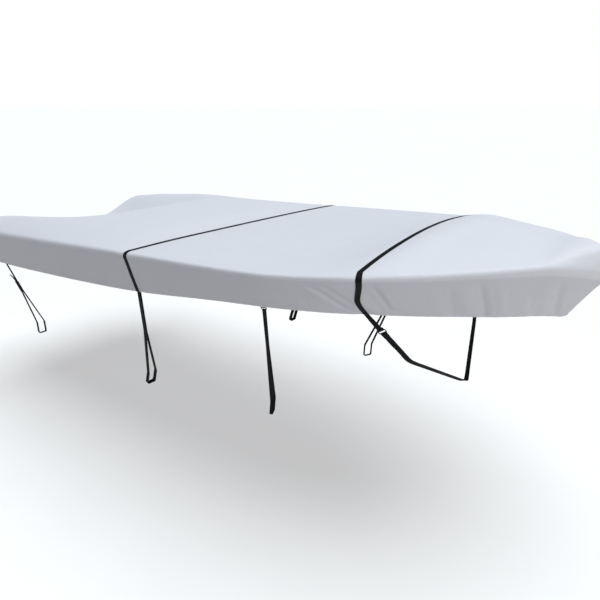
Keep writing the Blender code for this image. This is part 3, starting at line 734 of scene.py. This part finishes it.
def eased(points, widths, reach, closed):
    """The same line of points and widths with its corners rounded."""
    last = len(points) - 1
    line, across = [], []
    for i, (point, width) in enumerate(zip(points, widths)):
        if not closed and i in (0, last):
            line.append(point)
            across.append(width)
            continue
        before, after = points[i - 1] - point, points[(i + 1) % (last + 1)] - point
        start = point + before.normalized() * min(reach, before.length * 0.4)
        end = point + after.normalized() * min(reach, after.length * 0.4)
        for t in (0.0, 0.5, 1.0):
            line.append(start * (1 - t) ** 2 + point * 2 * t * (1 - t) + end * t * t)
            across.append(width)
    return line, across


def filled_in(points, widths):
    """The same line of points and widths, with more of them along its long stretches."""
    line, across = [points[0]], [widths[0]]
    for i in range(1, len(points)):
        steps = math.ceil((points[i] - points[i - 1]).length / LONG_STEP)
        for k in range(1, steps + 1):
            line.append(points[i - 1].lerp(points[i], k / steps))
            across.append(widths[i - 1].lerp(widths[i], k / steps))
    return line, across


def strip(points, widths, breadth, closed=False, reach=0.004):
    """Guide of webbing whose face passes through the points, its thickness to the left.

    Each entry of a guide is the two edges of that face and the way to the other face. A closed
    guide ends with its first entry again.
    """
    points, widths = eased(points, widths, reach, closed)
    if closed:
        points, widths = points + points[:1], widths + widths[:1]
    points, widths = filled_in(points, widths)
    guide = []
    last = len(points) - 1
    for i, (point, width) in enumerate(zip(points, widths)):
        before = points[i - 1] if i > 0 else points[last - 1 if closed else 0]
        after = points[i + 1] if i < last else points[1 if closed else last]
        run = (after - before).normalized()
        side = (width - run * run.dot(width)).normalized()
        half = side * (breadth / 2)
        guide.append((point - half, point + half, run.cross(side)))
    return guide


def port_side(guide):
    """The same webbing on the port side, followed the other way."""
    return [(left * PORT, right * PORT, out * PORT) for left, right, out in guide[::-1]]


def cloth_strip(strap, x, half):
    """Guide of webbing across the cover: up the starboard skirt, over the top, down to port.

    The casing of the hem takes up about a tenth of the way down.
    """
    places = [(i, 0.0) for i in range(UPPER_RINGS)]
    casing = 0.1
    for k in range(1, SKIRT_ROWS + HEM_ROWS + 1):
        share = (1 - casing) * min(k / SKIRT_ROWS, 1)
        share += casing * max(k - SKIRT_ROWS, 0) / HEM_ROWS
        places.append((UPPER_RINGS + 1 + k, share))
    lines = []
    for side_x in (x - half, x + half):
        edge = [side_profile(side_x + stray(strap, share))[i] for i, share in places]
        lines.append(edge[::-1] + top_row(side_x) + mirrored(edge))
    guide = []
    for (left, left_out), (right, right_out) in zip(*lines):
        out = (left_out + right_out).normalized()
        guide.append((left + out * (REST + WEB), right + out * (REST + WEB), -out))
    return guide


def make_webbing(name, guide, finish):
    """A strip of webbing along its guide, with rounded selvedges, for the node of that name."""
    made = bmesh.new()
    rows = []
    for left, right, _ in guide:
        rows.append([left.lerp(right, k / ACROSS_WEB) for k in range(ACROSS_WEB + 1)])
    lay_grid(made, rows)
    merge(made)
    made.faces.ensure_lookup_table()
    made.normal_update()
    if made.faces[0].normal.dot(guide[0][2]) > 0:
        bmesh.ops.reverse_faces(made, faces=made.faces)
    make_piece(f"{name}_webbing", made, finish, [name], WEB, SELVEDGE, sharp=50)


def loop_bars(kind):
    """Half the distance between the bars of a kind of loop."""
    return LOOPS[kind]["bars"] / 2


LOOP_BEND = 0.0035       # bend of a loop's middle line at its corners
LOOP_STEPS = 5           # steps round such a bend
BAR_SIDES = 14


def make_loop(name, frame, kind, port, finish):
    """A moulded loop of round bars with bent corners, in the strap's plane."""
    loop = LOOPS[kind]
    reach = loop_bars(kind)
    corners = [
        frame.spot(down * reach, 0.0) + frame.width * side * half
        for half, side, down in (
            (loop["upper_half"], -1, -1), (loop["upper_half"], 1, -1),
            (loop["lower_half"], 1, 1), (loop["lower_half"], -1, 1))]
    line = []
    for i, corner in enumerate(corners):
        before = (corners[i - 1] - corner).normalized() * LOOP_BEND
        after = (corners[(i + 1) % 4] - corner).normalized() * LOOP_BEND
        for k in range(LOOP_STEPS + 1):
            angle = math.pi / 2 * k / LOOP_STEPS
            turn = before * (1 - math.sin(angle)) + after * (1 - math.cos(angle))
            line.append(corner + turn)
    flip = PORT if port else Vector((1, 1, 1))
    line = [point * flip for point in line]
    out = frame.out * flip
    rows = []
    for i, point in enumerate(line + line[:1]):
        run = (line[(i + 1) % len(line)] - line[i - 1]).normalized()
        side = run.cross(out)
        angles = [math.tau * k / BAR_SIDES for k in range(BAR_SIDES + 1)]
        rows.append([
            point + (side * math.cos(a) + out * math.sin(a)) * BAR / 2 for a in angles])
    made = bmesh.new()
    lay_grid(made, rows)
    merge(made)
    bmesh.ops.recalc_face_normals(made, faces=made.faces)
    make_piece(f"{name}_moulded", made, finish, [name])


def sewn_end(frame, bar, length):
    """Points of a strap's outer face from its end behind a bar, round the bar, to outside."""
    radius = ROUND_BAR + WEB
    turn = frame.round_bar(bar, radius, 180, 0)
    return [frame.spot(bar - length, -radius)] + turn + [frame.spot(bar - PAST_BAR, radius)]


def leg_guide(leg, frame, across, rail):
    """A leg: over the lower bar, down the outside of the rail, under it and back up."""
    bar = loop_bars(leg["loop"])
    side = RAIL_HALF + REST
    straight = (rail - frame.middle).normalized()
    rail_width = across.cross(straight).normalized()
    fall = rail_width.cross(across)
    part = frame.middle + straight * leg["parted"]

    def by_rail(down, out):
        return rail + fall * down + across * out

    loop = frame.round_bar(bar, ROUND_BAR, -180, 0)
    loop += [part + across * ROUND_BAR]
    widths = [frame.width] * len(loop)
    loop += [by_rail(0.0, side), by_rail(RAIL_DEPTH, side)]
    loop += [by_rail(RAIL_DEPTH, -side), by_rail(0.0, -side)]
    widths += [rail_width] * (len(loop) - len(widths))
    outer = ROUND_BAR + WEB + TAIL_GAP
    if leg["tail"]:
        loop = [frame.spot(bar + SEWN, -ROUND_BAR)] + loop
        widths = [frame.width] + widths
        loop += [part - across * outer]
        loop += frame.round_bar(bar, outer, -180, 0)
        loop += [frame.spot(bar + leg["tail"] / 2, outer), frame.spot(bar + leg["tail"], outer)]
    else:
        loop += [part - across * ROUND_BAR]
    widths += [frame.width] * (len(loop) - len(widths))
    return strip(loop, widths, leg["width"], closed=not leg["tail"], reach=RAIL_BEND)


def stern_guide(frame):
    """The strap that hangs the stern ring, sewn inside the hem, with its end outside."""
    behind = CLOTH + 2 * REST + WEB
    profile = side_profile(LEGS[0][2])
    points = [point - facing * behind for point, facing in (profile[-1 - HEM_ROWS], profile[-1])]
    bar = -loop_bars("ring")
    radius = ROUND_BAR + WEB
    points += [frame.spot(bar - PAST_BAR, -radius)] + frame.round_bar(bar, radius, 180, 0)
    middle_out, end_out = STERN_END_LEANS
    points += [frame.spot(bar - STERN_END / 2, radius + middle_out)]
    points += [frame.spot(bar - STERN_END, radius + end_out)]
    return strip(points, [frame.width] * len(points), WEB_WIDTH)


def hem_place(x):
    """Where the bottom of the hem is at x."""
    _, outward = edge_place(x)
    return hem_foot(x) - Vector((outward.x, outward.y, 0.0)) * HEM_TUCK


def make_legs(webbing, plastic):
    """Every leg with the loop it hangs from, and what holds that loop."""
    for row in LEGS:
        leg = dict(zip(LEG_COLUMNS, row))
        turn = math.radians(leg["turn"])
        across = Vector((math.sin(turn), -math.cos(turn), 0.0))
        rail = Vector((leg["rail_x"], leg["rail_y"], RAIL_TOP))
        hem, facing = hem_place(leg["x"]), side_profile(leg["x"])[-1][1]
        start = hem - facing * (CLOTH / 2)
        down = (rail - start).normalized()
        width = across.cross(down)
        if leg["loop"] == "tab":
            width = (hem_place(leg["x"] + 0.01) - hem).normalized()
            down = (down - width * width.dot(down)).normalized()
        frame = Frame(start + down * leg["below_hem"], down, width)
        guide = leg_guide(leg, frame, across, rail)
        for side, port in (("starboard", False), ("port", True)):
            name = leg["name"]
            make_webbing(f"leg_{name}_{side}", port_side(guide) if port else guide, webbing)
            make_loop(f"{leg['loop']}_{name}_{side}", frame, leg["loop"], port, plastic)
            if name == "stern":
                placed = port_side(stern_guide(frame)) if port else stern_guide(frame)
                make_webbing(f"strap_{name}_{side}", placed, webbing)
        if leg["name"] == "aft":
            end = sewn_end(frame, -loop_bars("ring"), SEWN)
            end = strip(end, [frame.width] * len(end), WEB_WIDTH)
            over = end + cloth_strip("aft", STRAP_AFT, AFT_HALF) + port_side(end)
            make_webbing("over_strap_aft", over, webbing)


def make_fore_strap(webbing, plastic):
    """The fore strap: over the cover, round under the hull, and through its slide buckle."""
    chine = HULL[0][0]
    frame = Frame(SLIDE_PLACE, chine - SLIDE_PLACE, HULL_SIDE)
    half = loop_bars("slide")
    end = sewn_end(frame, -half, SEWN)
    guide = strip(end, [frame.width] * len(end), WEB_WIDTH)
    guide += cloth_strip("fore", STRAP_FORE, FORE_HALF)
    points = [frame.spot(0.0, 0.0) * PORT] + [point * PORT for point, _ in HULL]
    widths = [frame.width * PORT] + [along * PORT for _, along in HULL]
    points += [point for point, _ in HULL[-2::-1]]
    widths += [along for _, along in HULL[-2::-1]]
    guide += strip(points, widths, WEB_WIDTH, reach=KEEL_BEND)
    joined = TAIL_GAP / 2
    opened, closed = half + TAIL_STRAIGHT, half + TAIL_JOINED
    tail = [frame.spot(closed, -joined), frame.spot(opened, -ROUND_BAR)]
    tail += frame.round_bar(half, ROUND_BAR, -180, 0)
    tail += [frame.spot(opened, ROUND_BAR), frame.spot(closed, joined)]
    tail += [frame.spot(half + FORE_TAIL, joined)]
    guide += strip(tail, [frame.width] * len(tail), WEB_WIDTH)
    make_webbing("over_strap_fore", guide, webbing)
    make_loop("slide_fore", frame, "slide", False, plastic)


# ---- finishes ----
def linear(value):
    """A #rrggbb colour in linear light, with full alpha."""
    channels = [int(value[i:i + 2], 16) / 255 for i in (1, 3, 5)]
    return [c / 12.92 if c <= 0.04045 else ((c + 0.055) / 1.055) ** 2.4 for c in channels] + [1]


def plug(tree, node, inputs):
    """Give a node's inputs, by name or number, a value or another node's output."""
    for name, value in inputs.items():
        if isinstance(value, bpy.types.NodeSocket):
            tree.links.new(value, node.inputs[name])
        else:
            node.inputs[name].default_value = value


def add_node(tree, kind, inputs, **settings):
    """Add a node with its settings and inputs, and give its outputs."""
    node = tree.nodes.new("ShaderNode" + kind)
    for name, value in settings.items():
        setattr(node, name, value)
    plug(tree, node, inputs)
    return node.outputs


def new_finish(name):
    """A material with its node tree, its shader and its coordinates."""
    finish = bpy.data.materials.new(name)
    finish.use_nodes = True
    tree = finish.node_tree
    return finish, tree, tree.nodes["Principled BSDF"], add_node(tree, "TexCoord", {})


def bands(pitch):
    """Scale of a wave texture whose bands lie a pitch apart."""
    return math.tau / 20 / pitch


def coated_polyester(name, pale, deep):
    """Polyester canvas, plain woven and coated with polyurethane.

    A matt sheet with a faint sheen, slight clouding where the coating took up more or less,
    and a plain weave. The threads are 0.6 mm apart, drawn 1.8 mm apart so that they show.
    """
    finish, tree, shader, place = new_finish(name)
    cloud = add_node(
        tree, "TexNoise", {"Vector": place["Object"], "Scale": 5.0, "Detail": 6.0,
                           "Roughness": 0.62})
    tone = add_node(
        tree, "MapRange", {"Value": cloud["Fac"], "From Min": 0.25, "From Max": 0.75})
    threads = [
        add_node(
            tree, "TexWave", {"Vector": place["UV"], "Scale": bands(0.0018), "Distortion": 0.5},
            bands_direction=direction)["Fac"]
        for direction in ("X", "Y")]
    weave = add_node(tree, "Math", {0: threads[0], 1: threads[1]}, operation="MAXIMUM")
    woven = add_node(
        tree, "Bump", {"Height": weave["Value"], "Strength": 0.35, "Distance": 0.0002})
    crumple = add_node(
        tree, "TexNoise", {"Vector": place["Object"], "Scale": 24.0, "Detail": 4.0,
                           "Roughness": 0.5})
    crumpled = add_node(
        tree, "Bump", {"Height": crumple["Fac"], "Normal": woven["Normal"],
                       "Strength": 0.35, "Distance": 0.003})
    rough = add_node(
        tree, "MapRange", {"Value": crumple["Fac"], "To Min": 0.56, "To Max": 0.70})
    plug(tree, shader, {
        "Base Color": add_node(
            tree, "Mix", {0: tone["Result"], 6: linear(deep), 7: linear(pale)},
            data_type="RGBA")[2],
        "Roughness": rough["Result"], "Normal": crumpled["Normal"],
        "Sheen Weight": 0.08, "Sheen Roughness": 0.5, "Specular IOR Level": 0.35})
    return finish


def polypropylene_webbing():
    """Black polypropylene webbing, woven in ribs.

    The ribs run along it 1.8 mm apart and the weft crosses them every 1.3 mm. It is nearly
    black, and the crowns of the ribs are painted lighter as a painted highlight for a dull gleam.
    """
    finish, tree, shader, place = new_finish("polypropylene_webbing_woven")
    ribs = add_node(
        tree, "TexWave", {"Vector": place["UV"], "Scale": bands(0.0018)}, bands_direction="X")
    weft = add_node(
        tree, "TexWave", {"Vector": place["UV"], "Scale": bands(0.0013)}, bands_direction="Y")
    height = add_node(
        tree, "Math", {0: ribs["Fac"], 1: weft["Fac"]}, operation="MULTIPLY")
    woven = add_node(
        tree, "Bump", {"Height": height["Value"], "Strength": 0.6, "Distance": 0.0005})
    fuzz = add_node(tree, "TexNoise", {"Vector": place["Object"], "Scale": 60.0, "Detail": 3.0})
    rough = add_node(tree, "MapRange", {"Value": fuzz["Fac"], "To Min": 0.55, "To Max": 0.80})
    plug(tree, shader, {
        # Painted highlight: the base colour is painted lighter where ribs and weft stand highest.
        "Base Color": add_node(
            tree, "Mix", {0: height["Value"], 6: linear("#0b0c0e"), 7: linear("#1b1c1f")},
            data_type="RGBA")[2],
        "Roughness": rough["Result"], "Normal": woven["Normal"],
        "Specular IOR Level": 0.1})
    return finish


def black_acetal():
    """Black acetal, injection moulded: a satin skin with a very fine grain."""
    finish, tree, shader, place = new_finish("black_acetal_moulded")
    grain = add_node(
        tree, "TexNoise", {"Vector": place["Object"], "Scale": 900.0, "Detail": 2.0})
    wear = add_node(tree, "TexNoise", {"Vector": place["Object"], "Scale": 120.0, "Detail": 4.0})
    rough = add_node(tree, "MapRange", {"Value": wear["Fac"], "To Min": 0.34, "To Max": 0.55})
    fine = add_node(
        tree, "Bump", {"Height": grain["Fac"], "Strength": 0.25, "Distance": 0.0001})
    plug(tree, shader, {
        "Base Color": add_node(
            tree, "Mix", {0: wear["Fac"], 6: linear("#0c0c0e"), 7: linear("#17171a")},
            data_type="RGBA")[2],
        "Roughness": rough["Result"], "Normal": fine["Normal"], "Specular IOR Level": 0.25})
    return finish


def polyester_thread(name, light, dark):
    """Twisted polyester sewing thread: soft, slightly glossy plies."""
    finish, tree, shader, place = new_finish(name)
    plies = add_node(
        tree, "TexNoise", {"Vector": place["Object"], "Scale": 700.0, "Detail": 1.0})
    twist = add_node(
        tree, "Bump", {"Height": plies["Fac"], "Strength": 0.4, "Distance": 0.0002})
    plug(tree, shader, {
        "Base Color": add_node(
            tree, "Mix", {0: plies["Fac"], 6: linear(dark), 7: linear(light)},
            data_type="RGBA")[2], "Roughness": 0.55,
        "Normal": twist["Normal"], "Sheen Weight": 0.1})
    return finish


def lit_acrylic(name, pale, deep):
    """White acrylic sheet of a light table, lit softly from below."""
    finish, tree, shader, place = new_finish(name)
    cloud = add_node(tree, "TexNoise", {"Vector": place["Object"], "Scale": 3.0, "Detail": 3.0})
    plug(tree, shader, {
        "Base Color": add_node(
            tree, "Mix", {0: cloud["Fac"], 6: linear(deep), 7: linear(pale)},
            data_type="RGBA")[2], "Roughness": 0.9,
        "Emission Color": linear("#ffffff"), "Emission Strength": FLOOR_GLOW})
    return finish


# ---- the studio ----
EYE = Vector((2.4416, -2.3983, 1.8941 - MOUNT_HEIGHT))
EYE_YAW = 0.8944         # radians from the way to the stern, towards port
EYE_PITCH = 0.3312       # radians below level
EYE_LENS = 34.02
EYE_SENSOR = 36.0


def make_camera():
    """The camera, off the starboard bow and above the cover."""
    lens = bpy.data.cameras.new("camera")
    lens.lens = EYE_LENS
    lens.sensor_width = EYE_SENSOR
    camera = put("camera", lens)
    level = math.cos(EYE_PITCH)
    ahead = Vector((
        -math.cos(EYE_YAW) * level, math.sin(EYE_YAW) * level, -math.sin(EYE_PITCH)))
    camera.location = EYE
    camera.rotation_euler = ahead.to_track_quat("-Z", "Y").to_euler()
    bpy.context.scene.camera = camera


FLOOR_RETURN = 0.42      # light that the lit floor sends up to the cover
FLOOR_GLOW = 0.42        # and how brightly it shows by itself
FLOOR_HALF = 1500.0      # half its breadth, which puts its far edge at the horizon
WALL_FADES = (0.16, 0.22)    # height in the sky at which the white walls end
CEILING_DIM = 0.12       # and how bright the sky is above them
HORIZON = -0.01          # height in the sky below which the lit floor is taken to shine
COVER_MIDDLE = Vector((0.0, 0.0, -0.2))

# Broad light from above, like a studio's ceiling, and a weaker soft box off the bow.
LAMPS = (
    ("ceiling", "SUN", "#f7fdff", (0.6, 0.9, 6.0), {"energy": 3.1, "angle": math.radians(60)}),
    ("bow_box", "AREA", "#fffaf4", (7.0, -1.8, 0.4),
     {"shape": "SQUARE", "size": 3.0, "energy": 92.0}),
)


def make_lights():
    """The lamps, each aimed at the middle of the cover."""
    for name, kind, colour, place, settings in LAMPS:
        lamp = bpy.data.lights.new(name, kind)
        lamp.color = linear(colour)[:3]
        for setting, value in settings.items():
            setattr(lamp, setting, value)
        light = put(name, lamp)
        light.location = place
        aim = COVER_MIDDLE - Vector(place)
        light.rotation_euler = aim.to_track_quat("-Z", "Y").to_euler()


def make_world():
    """White walls up to a low edge, a dim ceiling, and the soft light that the floor returns."""
    world = bpy.data.worlds.new("studio")
    world.use_nodes = True
    tree = world.node_tree
    place = add_node(tree, "TexCoord", {})
    height = add_node(tree, "SeparateXYZ", {"Vector": place["Generated"]})
    wall = add_node(tree, "MapRange", {
        "Value": height["Z"], "From Min": WALL_FADES[0], "From Max": WALL_FADES[1],
        "To Min": 1.0, "To Max": CEILING_DIM})
    above = add_node(tree, "Math", {0: height["Z"], 1: HORIZON}, operation="GREATER_THAN")
    level = add_node(
        tree, "Mix", {0: above["Value"], 2: FLOOR_RETURN, 3: wall["Result"]}, data_type="FLOAT")
    plug(tree, tree.nodes["Background"], {
        "Color": linear("#ffffff"), "Strength": level["Result"]})
    bpy.context.scene.world = world


def make_floor():
    """A wide pale floor, at the height of the ground under the boat's trailer."""
    made = bmesh.new()
    bmesh.ops.create_grid(made, x_segments=1, y_segments=1, size=FLOOR_HALF)
    bmesh.ops.translate(made, verts=made.verts, vec=(0.0, 0.0, -MOUNT_HEIGHT))
    mesh = mesh_from("floor", made)
    mesh.materials.append(lit_acrylic("lit_white_acrylic", "#c2c3c4", "#bcbdbe"))
    floor = put("floor", mesh)
    floor.visible_diffuse = False        # its light on the cover comes from the world instead


def main():
    """Dress the part and set it in its studio."""
    make_camera()
    cloth = coated_polyester("coated_polyester_woven", "#d6d8e1", "#d3d5de")
    webbing = polypropylene_webbing()
    plastic = black_acetal()
    thread = polyester_thread("polyester_thread_grey", "#c3c6cd", "#9b9ea6")
    make_stitches("seam_stitches", make_top(cloth), thread)
    make_stitches("hem_stitches", make_skirts(cloth), thread)
    make_legs(webbing, plastic)
    make_fore_strap(webbing, plastic)
    make_lights()
    make_world()
    make_floor()
    bpy.context.scene.view_settings.view_transform = "Standard"


main()
